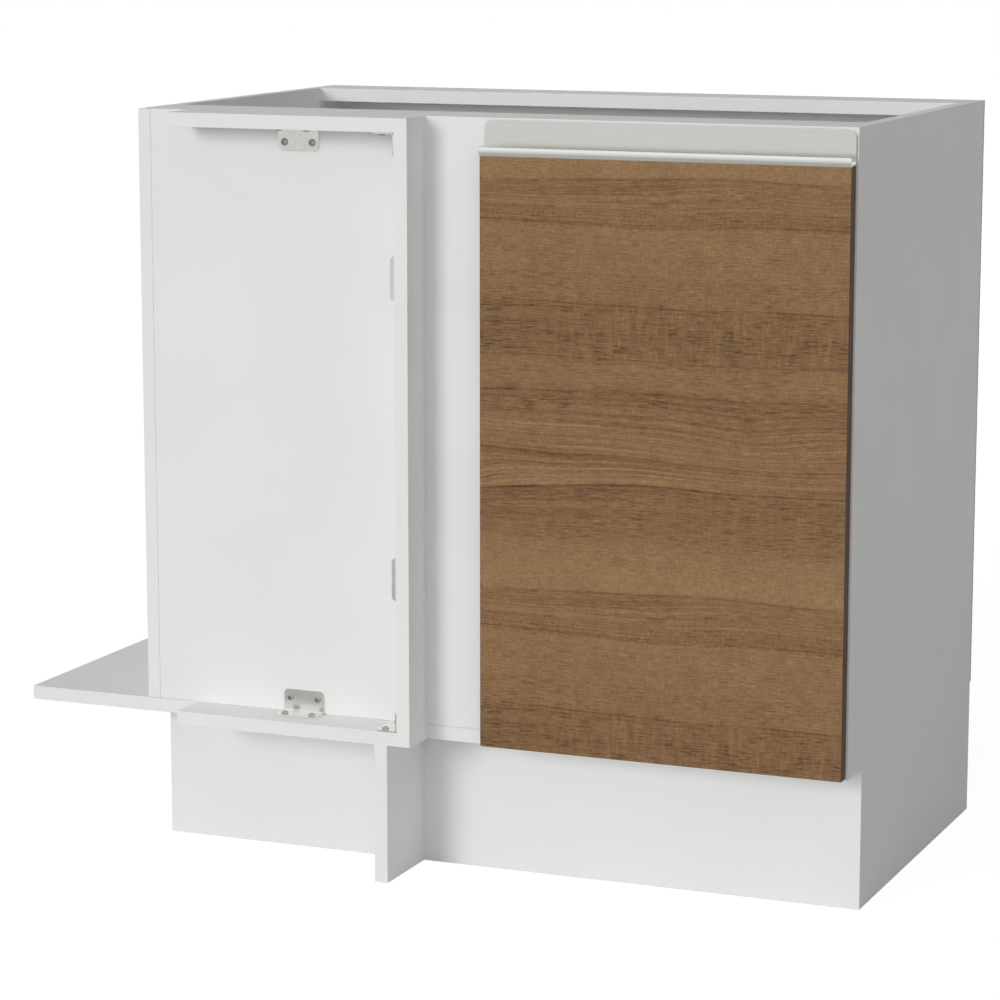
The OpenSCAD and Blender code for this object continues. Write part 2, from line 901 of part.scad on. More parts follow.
module cup_flange() {
    circle(r = cup_r);
    for (s = [-1, 1]) {
        translate([-flange_line, s * flange_pitch]) circle(d = flange_w);
    }
    translate([-flange_line - flange_w / 2, -flange_pitch]) square([flange_w, 2 * flange_pitch]);
}

// The cup's inside: round towards the door's middle, and a narrow pocket at the pin
module cup_cavity() {
    intersection() {
        circle(r = cup_r - cup_wall);
        union() {
            translate([-cup_r, -cup_r]) square([cup_r + pocket_edge, cup_d]);
            translate([0, -cup_pocket]) square([cup_r, 2 * cup_pocket]);
        }
    }
}

module cup_screws(z, grow = 0) {
    for (s = [-1, 1]) {
        rod_y(
            [cup_x - flange_line, -door_gap - screw_in - grow, z + s * flange_pitch],
            screw_d + 2 * grow,
            screw_in + flange_t + grow
        );
    }
}

module cup_pin(z, grow = 0) {
    half = cup_pocket + cup_pin_seat;
    rod_z([cup_pin_xy[0], cup_pin_xy[1], z - half - grow], pin_d + 2 * grow, 2 * half + 2 * grow);
}

module hinge_cup(z) {
    color(nickel) placed() difference() {
        union() {
            rod_y([cup_x, -door_gap - cup_depth, z], cup_d, cup_depth);
            translate([cup_x, -door_gap + flange_t, z])
                rotate([90, 0, 0]) linear_extrude(flange_t) cup_flange();
        }
        translate([cup_x, -door_gap + flange_t + cut, z])
            rotate([90, 0, 0]) linear_extrude(flange_t + cut + cup_depth - cup_wall) cup_cavity();
        cup_screws(z, fit_gap);
        cup_pin(z, fit_gap);
    }
}

module hinge_cup_upper() {
    hinge_cup(hinge_zs[1]);
}

module hinge_cup_lower() {
    hinge_cup(hinge_zs[0]);
}

module hinge_cup_pins() {
    color(zinc) placed() {
        for (z = hinge_zs) {
            cup_pin(z);
        }
    }
}

module hinge_cup_screws() {
    color(zinc) placed() {
        for (z = hinge_zs) {
            cup_screws(z);
            for (s = [-1, 1]) {
                rod_y([cup_x - flange_line, -door_gap + flange_t, z + s * flange_pitch], pan_d, pan_h);
            }
        }
    }
}

// The link's bow is an arc through its two ends
module bow_band(outer, inner) {
    span = far_pin;
    bow_r = (span * span / 4 + link_bow * link_bow) / (2 * link_bow);
    reach = link_bow + eye_r + cut;
    intersection() {
        translate([0, -reach]) square([span, reach]);
        translate([span / 2, bow_r - link_bow]) difference() {
            circle(r = bow_r + outer, $fn = 96);
            circle(r = bow_r - inner, $fn = 96);
        }
    }
}

module link_slot(grow) {
    slot_r = pin_d / 2 + slot_gap + grow;
    translate([near_pin, 0]) circle(r = slot_r);
    translate([far_pin, 0]) circle(r = slot_r);
    translate([near_pin, -slot_r]) square([far_pin - near_pin, 2 * slot_r]);
}

module link_cheek() {
    difference() {
        union() {
            circle(r = eye_r);
            link_slot(eye_wall);
            bow_band(eye_r, 0);
        }
        circle(r = pin_d / 2 + pin_gap);
        link_slot(0);
    }
}

module hinge_link(z) {
    color(zinc) placed() translate([arm_pin_xy[0], arm_pin_xy[1], z]) rotate([0, 0, link_turn]) {
        for (s = [-1, 1]) {
            translate([0, 0, s * (link_half_w - link_t / 2) - link_t / 2])
                linear_extrude(link_t) link_cheek();
        }
        translate([0, 0, -link_half_w]) linear_extrude(2 * link_half_w) bow_band(eye_r, link_t - eye_r);
    }
}

module hinge_link_upper() {
    hinge_link(hinge_zs[1]);
}

module hinge_link_lower() {
    hinge_link(hinge_zs[0]);
}

// The arm: a channel over the mounting plate that narrows to a nose at the cup

module arm_cheek() {
    translate(arm_pin_xy) circle(r = arm_eye_r);
    polygon([
        [arm_pin_xy[0] - arm_eye_r, arm_pin_xy[1]],
        [arm_back_x, arm_bend_y],
        [arm_back_x, arm_l],
        [arm_foot_x, arm_l],
        [arm_foot_x, arm_bend_y],
        [arm_pin_xy[0] + arm_neck, arm_pin_xy[1] + arm_neck],
        [arm_pin_xy[0] + arm_eye_r, arm_pin_xy[1]]
    ]);
}

module arm_web() {
    eye_x = arm_pin_xy[0] - arm_eye_r;
    nose_x = eye_x + (arm_back_x - eye_x) * web_start;
    nose_y = arm_pin_xy[1] + (arm_bend_y - arm_pin_xy[1]) * web_start;
    polygon([
        [nose_x, nose_y],
        [arm_back_x, arm_bend_y],
        [arm_back_x, arm_l],
        [arm_back_x + arm_t, arm_l],
        [arm_back_x + arm_t, arm_bend_y],
        [nose_x + arm_t, nose_y]
    ]);
}

module arm_pin(z, grow = 0) {
    half = arm_half_w + arm_pin_over;
    rod_z([arm_pin_xy[0], arm_pin_xy[1], z - half - grow], pin_d + 2 * grow, 2 * half + 2 * grow);
}

module arm_screws(z, grow = 0) {
    for (y = arm_screw_ys) {
        rod_x([arm_back_x, y, z], screw_d + 2 * grow, arm_h - wing_t - arm_screw_tip + grow);
    }
}

module hinge_arm(z) {
    color(nickel) placed() difference() {
        union() {
            for (s = [-1, 1]) {
                translate([0, 0, z + s * (arm_half_w - arm_t / 2) - arm_t / 2])
                    linear_extrude(arm_t) arm_cheek();
            }
            translate([0, 0, z - arm_half_w]) linear_extrude(2 * arm_half_w) arm_web();
        }
        arm_pin(z, fit_gap);
        arm_screws(z, fit_gap);
    }
}

module hinge_arm_upper() {
    hinge_arm(hinge_zs[1]);
}

module hinge_arm_lower() {
    hinge_arm(hinge_zs[0]);
}

module hinge_arm_pins() {
    color(zinc) placed() {
        for (z = hinge_zs) {
            arm_pin(z);
        }
    }
}

module hinge_arm_screws() {
    color(zinc) placed() {
        for (z = hinge_zs) {
            arm_screws(z);
            for (y = arm_screw_ys) {
                rod_x([arm_back_x - pan_h, y, z], pan_d, pan_h);
            }
        }
    }
}

module plate_screws(z, grow = 0) {
    for (s = [-1, 1]) {
        rod_x(
            [right_x[0] - wing_t, plate_line, z + s * plate_pitch],
            screw_d + 2 * grow,
            wing_t + screw_in + grow
        );
    }
}

module hinge_plate(z) {
    color(zinc) placed() difference() {
        union() {
            slab(
                [arm_back_x + arm_t, right_x[0]],
                [arm_bend_y + block_end_gap, arm_l - block_end_gap],
                [z - block_half_w, z + block_half_w]
            );
            slab(
                [right_x[0] - wing_t, right_x[0]],
                [plate_line - wing_w / 2, plate_line + wing_w / 2],
                [z - plate_pitch, z + plate_pitch]
            );
            for (s = [-1, 1]) {
                rod_x([right_x[0] - wing_t, plate_line, z + s * plate_pitch], wing_w, wing_t);
            }
        }
        plate_screws(z, fit_gap);
        arm_screws(z, fit_gap);
    }
}

module hinge_plate_upper() {
    hinge_plate(hinge_zs[1]);
}

module hinge_plate_lower() {
    hinge_plate(hinge_zs[0]);
}

module hinge_plate_screws() {
    color(zinc) placed() {
        for (z = hinge_zs) {
            plate_screws(z);
            for (s = [-1, 1]) {
                rod_x([right_x[0] - wing_t - head_h, plate_line, z + s * plate_pitch], head_d, head_h);
            }
        }
    }
}

left_side();
right_side();
bottom_panel();
front_rail();
rear_rail();
front_strip();
fixed_front();
back_panel();
shelf();
shelf_supports();
plinth_front();
plinth_rear();
plinth_left();
plinth_right();
plinth_return();
spacer_top();
spacer_upright();
spacer_bottom();
bracket_top_mid();
bracket_bottom_mid();
bracket_top_corner();
bracket_bottom_corner();
bracket_upright_upper();
bracket_upright_lower();
bracket_screws();
dowels();
cam_locks();
cam_bolts();
side_screws();
plinth_screws();
back_nails();
door_panel();
door_edge_band();
handle_profile();
handle_screws();
door_bumpers();
hinge_cup_upper();
hinge_cup_lower();
hinge_cup_pins();
hinge_cup_screws();
hinge_link_upper();
hinge_link_lower();
hinge_arm_upper();
hinge_arm_lower();
hinge_arm_pins();
hinge_arm_screws();
hinge_plate_upper();
hinge_plate_lower();
hinge_plate_screws();
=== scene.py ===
# Corner base cabinet: looks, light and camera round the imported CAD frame
import json
import math

import bmesh
import bpy
from mathutils import Matrix, Vector

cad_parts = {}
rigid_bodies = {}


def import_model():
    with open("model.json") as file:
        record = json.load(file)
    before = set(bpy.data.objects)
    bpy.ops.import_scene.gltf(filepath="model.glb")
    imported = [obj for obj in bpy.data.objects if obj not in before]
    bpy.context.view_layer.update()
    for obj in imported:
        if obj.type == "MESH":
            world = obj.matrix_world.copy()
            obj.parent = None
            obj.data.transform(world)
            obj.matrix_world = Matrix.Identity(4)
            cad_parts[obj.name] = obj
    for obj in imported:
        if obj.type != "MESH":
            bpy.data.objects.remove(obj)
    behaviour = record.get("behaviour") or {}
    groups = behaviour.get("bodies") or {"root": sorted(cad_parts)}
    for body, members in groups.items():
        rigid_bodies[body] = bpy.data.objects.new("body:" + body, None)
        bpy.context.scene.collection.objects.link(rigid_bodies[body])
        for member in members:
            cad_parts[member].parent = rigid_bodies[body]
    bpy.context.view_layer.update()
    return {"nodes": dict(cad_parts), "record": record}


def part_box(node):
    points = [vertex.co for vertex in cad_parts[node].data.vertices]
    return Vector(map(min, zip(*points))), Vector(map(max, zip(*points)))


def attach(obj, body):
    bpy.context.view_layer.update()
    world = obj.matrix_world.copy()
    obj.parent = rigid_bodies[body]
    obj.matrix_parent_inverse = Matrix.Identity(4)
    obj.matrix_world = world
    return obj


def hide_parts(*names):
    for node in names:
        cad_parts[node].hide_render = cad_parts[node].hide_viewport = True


for leftover in list(bpy.data.objects):  # the default cube, lamp and camera
    bpy.data.objects.remove(leftover)
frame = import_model()
nodes = frame["nodes"]
record = frame["record"]
bodyOf = {node: body for body, members in record["behaviour"]["bodies"].items() for node in members}
slotOf = {part["node"]: part["material_slot"] for part in record["subparts"]}
boxOf = {node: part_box(node) for node in nodes}
mm = 0.001
print("frame loaded:", len(nodes), "CAD nodes")


# Materials
def linear(hexColour):
    parts = [int(hexColour[i:i + 2], 16) / 255 for i in (1, 3, 5)]
    return [p / 12.92 if p <= 0.04045 else ((p + 0.055) / 1.055) ** 2.4 for p in parts] + [1.0]


def setStops(ramp, stops):
    ramp.interpolation = "LINEAR"
    while len(ramp.elements) > 1:
        ramp.elements.remove(ramp.elements[0])
    for i, (position, colour) in enumerate(stops):
        stop = ramp.elements[0] if i == 0 else ramp.elements.new(position)
        stop.position = position
        stop.color = linear(colour) if isinstance(colour, str) else (colour, colour, colour, 1)


# a socket is linked, a node is linked by its first output, and anything else is set
def plugIn(tree, node, inputs):
    for name, value in inputs.items():
        if isinstance(value, bpy.types.Node):
            value = value.outputs[0]
        if isinstance(value, bpy.types.NodeSocket):
            tree.links.new(value, node.inputs[name])
        else:
            node.inputs[name].default_value = value


def addNode(tree, kind, inputs=None, stops=None, **settings):
    node = tree.nodes.new(kind)
    for name, value in settings.items():
        setattr(node, name, value)
    if stops:
        setStops(node.color_ramp, stops)
    plugIn(tree, node, inputs or {})
    return node


def startMaterial(name):
    material = bpy.data.materials.new(name)
    material.use_nodes = True
    tree = material.node_tree
    tree.nodes.clear()
    shader = addNode(tree, "ShaderNodeBsdfPrincipled")
    addNode(tree, "ShaderNodeOutputMaterial", {"Surface": shader})
    place = addNode(tree, "ShaderNodeTexCoord").outputs["Object"]
    return material, tree, shader, place


# noise stretched to a real grain: each size is the length of one blotch in millimetres
def grain(tree, place, size, detail=2.0, roughness=0.5, distortion=0.0):
    stretch = addNode(tree, "ShaderNodeMapping", {"Vector": place, "Scale": [1 / (s * mm) for s in size]})
    return addNode(tree, "ShaderNodeTexNoise", {
        "Vector": stretch, "Scale": 1.0, "Detail": detail, "Roughness": roughness, "Distortion": distortion})


# Melamine-faced board: a printed-white resin film pressed against a satin steel plate, so it
# is nearly even, with a fine peel in the gloss that softens what it reflects
melamine = {
    "tones": [(0.35, "#F4F4F3"), (0.65, "#F7F7F6")], "mottle": 160, "peel": 1.6, "peelStrength": 0.4,
    "peelDepth": 0.012, "rough": (0.55, 0.65), "ior": 1.5, "shine": 0.12,
}


def whiteMelamine():
    material, tree, shader, place = startMaterial("white_melamine")
    mottle = grain(tree, place, [melamine["mottle"]] * 3)
    peel = grain(tree, place, [melamine["peel"]] * 3, detail=1.0)
    low, high = melamine["rough"]
    plugIn(tree, shader, {
        "Base Color": addNode(tree, "ShaderNodeValToRGB", {"Fac": mottle}, melamine["tones"]),
        "Roughness": addNode(tree, "ShaderNodeMapRange", {"Value": peel, "To Min": low, "To Max": high}),
        "Normal": addNode(tree, "ShaderNodeBump", {
            "Height": peel, "Strength": melamine["peelStrength"], "Distance": melamine["peelDepth"] * mm}),
        "IOR": melamine["ior"], "Specular IOR Level": melamine["shine"]})
    return material


# Sawn-oak print on melamine: the print repeats down the board, with dark bands of short
# dashes that light saw marks cut across, thin growth lines that run far, and fine fibres
sawnOak = {
    "top": 773, "left": 75.5, "wide": 395, "repeat": 425,
    "colours": [
        (0.0, "#3F2E25"), (0.25, "#5C4534"), (0.5, "#775B44"), (0.7, "#8C6D51"), (0.85, "#9A7A5B"), (1.0, "#AD8D6B")],
    "leans": [(0.1, "#FCFFF2"), (0.9, "#FFF7F3")],
    "rough": (0.72, 0.56), "bump": 0.35, "bumpDepth": 0.06, "ior": 1.5, "shine": 0.12,
    # millimetres down the print, and how strong each thing is there
    "bands": [
        (0, 0.1), (18, 0.08), (23, 0.5), (40, 0.4), (66, 0.5), (70, 0.25), (112, 0.3), (120, 0.42),
        (144, 0.48), (149, 0.74), (170, 0.7), (182, 0.82), (198, 0.76), (205, 0.55), (214, 0.4), (234, 0.36),
        (242, 0.68), (258, 0.66), (268, 0.5), (286, 0.36), (298, 0.42), (304, 0.6), (318, 0.4),
        (328, 0.44), (333, 0.8), (345, 0.68), (374, 0.62), (388, 0.45), (398, 0.22), (424, 0.12),
    ],
    "lines": [(23, 0.8), (57, 0.5), (67, 0.9), (146, 1.0), (151, 0.5), (204, 0.7), (241, 1.0), (247, 0.6),
              (302, 0.6), (332, 0.9)],
    "sawn": [(112, 0.05), (146, 0.9), (202, 1.0), (212, 0.1), (330, 0.1), (350, 0.45), (376, 0.3), (388, 0.05)],
    "ringed": [(18, 0.2), (30, 0.7), (66, 0.8), (74, 0.25), (240, 0.3), (268, 1.0), (322, 1.0), (345, 0.5), (385, 0.2)],
    "arched": [(322, 0.0), (330, 1.0), (362, 0.9), (374, 0.0)],
    "laddered": [(48, 0.0), (55, 1.0), (68, 1.0), (73, 0.0)],
    "sag": [(16, 0.5), (24, 0.22), (40, 0.4), (60, 0.5), (240, 0.5), (285, 1.0), (325, 0.6), (345, 0.5)],
    "flank": [(66, 0.5), (80, 0.9), (112, 0.5), (300, 0.5), (338, 0.0), (378, 0.5)],
    "hue": [(0, 0.4), (140, 0.5), (206, 0.4), (214, 0.2), (236, 0.3), (246, 0.65), (262, 0.6), (290, 0.4), (424, 0.4)],
    # shares of the door's width from its left, and how strong each thing is there
    "sagAcross": [(0.3, 0.0), (0.55, 0.6), (0.74, 1.0), (1.0, 0.4)],
    "sawnAcross": [(0.12, 0.25), (0.32, 1.0)],
    "archedAcross": [(0.1, 1.0), (0.42, 0.0)],
    # how far the grain bends, and the half width of a growth line, in millimetres
    "sagging": 18, "flankRise": 32, "flankRun": 60, "lineHalf": 1.2,
    # one mark's size along the grain, through the board and down, in millimetres; then either the noise
    # at which it starts and is full, or how wide it swings about zero
    "marks": {
        "waves": {"size": [210, 1000, 90], "detail": 1.0, "swing": 18},
        "fading": {"size": [60, 1000, 20], "detail": 1.0, "stops": [(0.4, 0.3), (0.6, 1.0)]},
        "dashes": {"size": [20, 1000, 1.4], "roughness": 0.6, "stops": [(0.48, 0.0), (0.62, 1.0)]},
        "clumps": {"size": [60, 1000, 12], "detail": 1.0, "stops": [(0.36, 0.4), (0.64, 1.2)]},
        "cuts": {"size": [6.5, 1000, 34], "detail": 3.0, "roughness": 0.6, "distortion": 0.4,
                 "stops": [(0.48, 0.0), (0.62, 1.0)]},
        "arches": {"size": [170, 1000, 4.6], "detail": 1.0, "stops": [(0.5, 0.0), (0.6, 1.0)]},
        "rungs": {"size": [1.9, 1000, 6], "detail": 1.0, "stops": [(0.48, 0.0), (0.6, 1.0)]},
        "rings": {"size": [380, 1000, 2.3], "roughness": 0.6, "swing": 0.95},
        "fibres": {"size": [10, 1000, 0.9], "detail": 3.0, "roughness": 0.8, "swing": 1.0},
        "blotches": {"size": [26, 1000, 40], "swing": 0.15},
        "ticks": {"size": [1.6, 1000, 9], "detail": 1.0, "swing": 0.3},
        "leaning": {"size": [70, 1000, 4], "swing": 1.1},
    },
    # how much of each goes into the shade, and how the shade darkens the palest tone
    "bandFloor": 0.36, "dashShare": 0.9, "ringsClear": 0.5, "cutShare": 0.55,
    "lineShare": 0.5, "archShare": 0.3, "rungShare": 0.14, "palest": 0.898, "shading": 0.66,
}


def sawnOakPrint():
    material, tree, shader, place = startMaterial("sawn_oak_melamine")
    axes = addNode(tree, "ShaderNodeSeparateXYZ", {"Vector": place})

    def weigh(value, *weights):  # a value made weaker or stronger by each of the weights
        for weight in weights:
            value = addNode(tree, "ShaderNodeMath", {0: value, 1: weight}, operation="MULTIPLY")
        return value

    def swing(value, width):  # a value from 0 to 1, made this wide about zero
        return addNode(tree, "ShaderNodeMath", {0: value, 1: width, 2: -width / 2}, operation="MULTIPLY_ADD")

    def byRow(row, strengths):  # a strength that depends on the row of the print
        stops = [(down / sawnOak["repeat"], strength) for down, strength in strengths]
        return addNode(tree, "ShaderNodeValToRGB", {"Fac": row}, stops)

    def onPrint(down):  # a point of the print, in metres
        return addNode(tree, "ShaderNodeCombineXYZ", {"X": axes.outputs["X"], "Z": weigh(down, mm)})

    def marksOn(point, name):  # one kind of mark, on the flat print or bent with the grain
        mark = dict(sawnOak["marks"][name])
        size, stops, width = mark.pop("size"), mark.pop("stops", None), mark.pop("swing", None)
        noise = grain(tree, point, size, **mark)
        return addNode(tree, "ShaderNodeValToRGB", {"Fac": noise}, stops) if stops else swing(noise, width)

    # the print's own coordinates: a share of the width along the grain, and millimetres down the repeat
    along = addNode(tree, "ShaderNodeMath", {0: axes.outputs["X"], 1: 1 / mm, 2: -sawnOak["left"]},
                    operation="MULTIPLY_ADD")
    across = addNode(tree, "ShaderNodeMath", {0: along, 1: sawnOak["wide"]}, operation="DIVIDE")
    reach = {name: addNode(tree, "ShaderNodeValToRGB", {"Fac": across}, sawnOak[name])
             for name in ("sagAcross", "sawnAcross", "archedAcross")}
    down = addNode(tree, "ShaderNodeMath", {0: axes.outputs["Z"], 1: -1 / mm, 2: sawnOak["top"]},
                   operation="MULTIPLY_ADD")
    down = addNode(tree, "ShaderNodeMath", {0: down, 1: sawnOak["repeat"]}, operation="FLOORED_MODULO")
    row = addNode(tree, "ShaderNodeMath", {0: down, 1: sawnOak["repeat"]}, operation="DIVIDE")
    printed = onPrint(down)

    # the grain wanders, sags right of the middle, and bends at the left where the saw cut across the rings
    run = addNode(tree, "ShaderNodeMath", {0: along, 1: 0.0}, operation="MAXIMUM")
    run = addNode(tree, "ShaderNodeMath", {0: weigh(run, -1 / sawnOak["flankRun"])}, operation="EXPONENT")
    flank = weigh(swing(byRow(row, sawnOak["flank"]), sawnOak["flankRise"]), run)
    sag = weigh(swing(byRow(row, sawnOak["sag"]), -sawnOak["sagging"]), reach["sagAcross"])
    level = down
    for bend in (marksOn(printed, "waves"), flank, sag):
        level = addNode(tree, "ShaderNodeMath", {0: level, 1: bend}, operation="ADD")
    bent = onPrint(level)
    row = addNode(tree, "ShaderNodeMath", {0: level, 1: sawnOak["repeat"]}, operation="DIVIDE")

    # dark bands: dashes in clumps, fewer where the rings show, with pale saw cuts across them
    clear = addNode(tree, "ShaderNodeMath", {0: byRow(row, sawnOak["ringed"]), 1: -sawnOak["ringsClear"], 2: 1.0},
                    operation="MULTIPLY_ADD")
    dashes = weigh(marksOn(bent, "dashes"), clear, marksOn(bent, "clumps"))
    dashes = addNode(tree, "ShaderNodeMath", {0: dashes, 1: sawnOak["dashShare"], 2: sawnOak["bandFloor"]},
                     operation="MULTIPLY_ADD")
    cuts = weigh(marksOn(printed, "cuts"), byRow(row, sawnOak["sawn"]), reach["sawnAcross"])
    cuts = addNode(tree, "ShaderNodeMath", {0: cuts, 1: -sawnOak["cutShare"], 2: 1.0}, operation="MULTIPLY_ADD")
    shade = weigh(byRow(row, sawnOak["bands"]), dashes, cuts)

    # growth lines that come and go, arches at the left, and rungs across the lines near the top
    half, stops = sawnOak["lineHalf"], []
    for middle, strength in sawnOak["lines"]:
        stops += [(middle - half, 0.0), (middle, strength), (middle + half, 0.0)]
    lines = weigh(byRow(row, stops), marksOn(bent, "fading"))
    arches = weigh(marksOn(bent, "arches"), byRow(row, sawnOak["arched"]), reach["archedAcross"])
    rungs = weigh(marksOn(printed, "rungs"), byRow(row, sawnOak["laddered"]))
    for marks, share in ((lines, "lineShare"), (arches, "archShare"), (rungs, "rungShare")):
        shade = addNode(tree, "ShaderNodeMath", {0: marks, 1: sawnOak[share], 2: shade}, operation="MULTIPLY_ADD")

    # the palest tone less the shade, with pale and dark rings, fibres, blotches and ticks
    tone = addNode(tree, "ShaderNodeMath", {0: shade, 1: -sawnOak["shading"], 2: sawnOak["palest"]},
                   operation="MULTIPLY_ADD")
    rings = weigh(marksOn(bent, "rings"), byRow(row, sawnOak["ringed"]))
    for marks in (rings, marksOn(bent, "fibres"), marksOn(printed, "blotches"), marksOn(printed, "ticks")):
        tone = addNode(tree, "ShaderNodeMath", {0: tone, 1: marks}, operation="ADD")

    # the print leans to red in some streaks and to olive in others
    hue = addNode(tree, "ShaderNodeMath", {0: byRow(row, sawnOak["hue"]), 1: marksOn(bent, "leaning")}, operation="ADD")
    tinted = addNode(tree, "ShaderNodeMix", {
        0: 1.0, 6: addNode(tree, "ShaderNodeValToRGB", {"Fac": tone}, sawnOak["colours"]),
        7: addNode(tree, "ShaderNodeValToRGB", {"Fac": hue}, sawnOak["leans"])},  # 6 and 7 are the two colours
        data_type="RGBA", blend_type="MULTIPLY")
    dark, pale = sawnOak["rough"]
    plugIn(tree, shader, {
        "Base Color": tinted.outputs[2],
        "Roughness": addNode(tree, "ShaderNodeMapRange", {"Value": tone, "To Min": dark, "To Max": pale}),
        "Normal": addNode(tree, "ShaderNodeBump", {
            "Height": tone, "Strength": sawnOak["bump"], "Distance": sawnOak["bumpDepth"] * mm}),
        "IOR": sawnOak["ior"], "Specular IOR Level": sawnOak["shine"]})
    return material


# ABS edge band: dark brown, matt, with a faint grain printed along its length
edgeBand = {"tones": [(0.3, "#5F4A3E"), (0.7, "#7A6254")], "streak": [45, 1.2, 45], "bump": 0.3, "bumpDepth": 0.03,
            "rough": 0.6, "shine": 0.12}


def brownEdgeBand():
    material, tree, shader, place = startMaterial("brown_abs_band")
    streaks = grain(tree, place, edgeBand["streak"], detail=3.0)
    plugIn(tree, shader, {
        "Base Color": addNode(tree, "ShaderNodeValToRGB", {"Fac": streaks}, edgeBand["tones"]),
        "Normal": addNode(tree, "ShaderNodeBump", {
            "Height": streaks, "Strength": edgeBand["bump"], "Distance": edgeBand["bumpDepth"] * mm}),
        "Roughness": edgeBand["rough"], "Specular IOR Level": edgeBand["shine"]})
    return material


# Hardboard: pressed wood fibre, brown and felted behind, painted white on the face inside
hardboard = {"tones": [(0.35, "#8A6442"), (0.65, "#A47C55")], "fibre": [7, 2, 3], "paint": "#F5F5F4",
             "paintedTo": 263.5, "felt": 2.5, "feltStrength": 0.4, "feltDepth": 0.08, "rough": (0.5, 0.85)}


def paintedHardboard():
    material, tree, shader, place = startMaterial("painted_hardboard")
    fibres = grain(tree, place, hardboard["fibre"], detail=5.0, roughness=0.7)
    felt = grain(tree, place, [hardboard["felt"]] * 3, detail=4.0, roughness=0.7)
    depth = addNode(tree, "ShaderNodeSeparateXYZ", {"Vector": place}).outputs["Y"]
    behind = addNode(tree, "ShaderNodeMath", {0: depth, 1: hardboard["paintedTo"] * mm}, operation="GREATER_THAN")
    colour = addNode(tree, "ShaderNodeMix", {
        0: behind, 6: linear(hardboard["paint"]),
        7: addNode(tree, "ShaderNodeValToRGB", {"Fac": fibres}, hardboard["tones"])}, data_type="RGBA")
    inside, outside = hardboard["rough"]
    plugIn(tree, shader, {
        "Base Color": colour.outputs[2],
        "Roughness": addNode(tree, "ShaderNodeMapRange", {"Value": behind, "To Min": inside, "To Max": outside}),
        "Normal": addNode(tree, "ShaderNodeBump", {
            "Height": felt, "Strength": hardboard["feltStrength"], "Distance": hardboard["feltDepth"] * mm})})
    return material


# The metals: drawn or plated surfaces whose fine lines or mottle blur what they reflect
metals = {
    # extruded aluminium, brushed along its length and anodised: soft silver with a satin streak
    "anodised_aluminium": {"tones": [(0.35, "#F2F2ED"), (0.65, "#F6F6F1")], "size": [160, 0.9, 0.9],
                           "rough": (0.27, 0.31), "depth": 0.001, "buffed": 0.15, "buffedTo": -236.9},
    # electroplated bright zinc on pressed steel: cool, nearly even, with a soft sheen
    "bright_zinc_plate": {"tones": [(0.35, "#F1F1ED"), (0.65, "#F8F8F4")], "size": [14, 14, 14],
                          "rough": (0.17, 0.24), "depth": 0.002},
    # the same zinc on cold-headed screws, its colour painted darker all over as painted shade and dark reflection round
    # the heads
    "zinc_plate_painted_dark": {"tones": [(0.35, "#AEAEAA"), (0.65, "#C4C4C0")], "size": [1.5, 1.5, 1.5],
                        "rough": (0.14, 0.22), "depth": 0.004},
    # satin nickel on pressed steel: slightly warm, a little darker than zinc
    "satin_nickel_plate": {"tones": [(0.35, "#CFCDC7"), (0.65, "#DEDCD6")], "size": [1.4, 9, 9],
                           "rough": (0.2, 0.3), "depth": 0.004},
}
metalBump = 0.3


def platedMetal(name):
    finish = metals[name]
    material, tree, shader, place = startMaterial(name)
    cloud = grain(tree, place, finish["size"], detail=3.0)
    low, high = finish["rough"]
    rough = addNode(tree, "ShaderNodeMapRange", {"Value": cloud, "To Min": low, "To Max": high})
    if "buffed" in finish:  # fingers keep the handle's lip smoother than the plate behind it
        depth = addNode(tree, "ShaderNodeSeparateXYZ", {"Vector": place}).outputs["Y"]
        front = addNode(tree, "ShaderNodeMath", {0: depth, 1: finish["buffedTo"] * mm}, operation="LESS_THAN")
        rough = addNode(tree, "ShaderNodeMix", {0: front, 2: rough, 3: finish["buffed"]})
    plugIn(tree, shader, {
        "Base Color": addNode(tree, "ShaderNodeValToRGB", {"Fac": cloud}, finish["tones"]),
        "Roughness": rough,
        "Normal": addNode(tree, "ShaderNodeBump", {
            "Height": cloud, "Strength": metalBump, "Distance": finish["depth"] * mm}),
        "Metallic": 1.0})
    return material


# Beech: turned dowels with a straight fine grain and short brown rays
beech = {"tones": [(0.35, "#B98F61"), (0.65, "#D3B084")], "grain": [12, 0.8, 0.8], "rough": 0.7}


def turnedBeech():
    material, tree, shader, place = startMaterial("turned_beech")
    rays = grain(tree, place, beech["grain"], detail=3.0)
    plugIn(tree, shader, {
        "Base Color": addNode(tree, "ShaderNodeValToRGB", {"Fac": rays}, beech["tones"]), "Roughness": beech["rough"]})
    return material


# Polyurethane bumper: a clear, soft, domed stop that looks milky on white
bumperDot = {"tones": [(0.3, "#CFCFCB"), (0.7, "#DCDCD8")], "cloud": 2, "rough": 0.25, "clear": 0.35, "ior": 1.5}


def softPolyurethane():
    material, tree, shader, place = startMaterial("clear_polyurethane")
    cloud = grain(tree, place, [bumperDot["cloud"]] * 3)
    plugIn(tree, shader, {
        "Base Color": addNode(tree, "ShaderNodeValToRGB", {"Fac": cloud}, bumperDot["tones"]),
        "Roughness": bumperDot["rough"], "Transmission Weight": bumperDot["clear"], "IOR": bumperDot["ior"]})
    return material


finishes = {
    "white_board": whiteMelamine(),
    "brown_board": sawnOakPrint(),
    "dark_band": brownEdgeBand(),
    "back_board": paintedHardboard(),
    "anodised_aluminium": platedMetal("anodised_aluminium"),
    "zinc_steel": platedMetal("bright_zinc_plate"),
    "nickel_steel": platedMetal("satin_nickel_plate"),
    "beech": turnedBeech(),
    "soft_bumper": softPolyurethane(),
}
for name, node in nodes.items():
    node.data.materials.clear()
    node.data.materials.append(finishes[slotOf[name]])
print("materials made:", len(finishes))


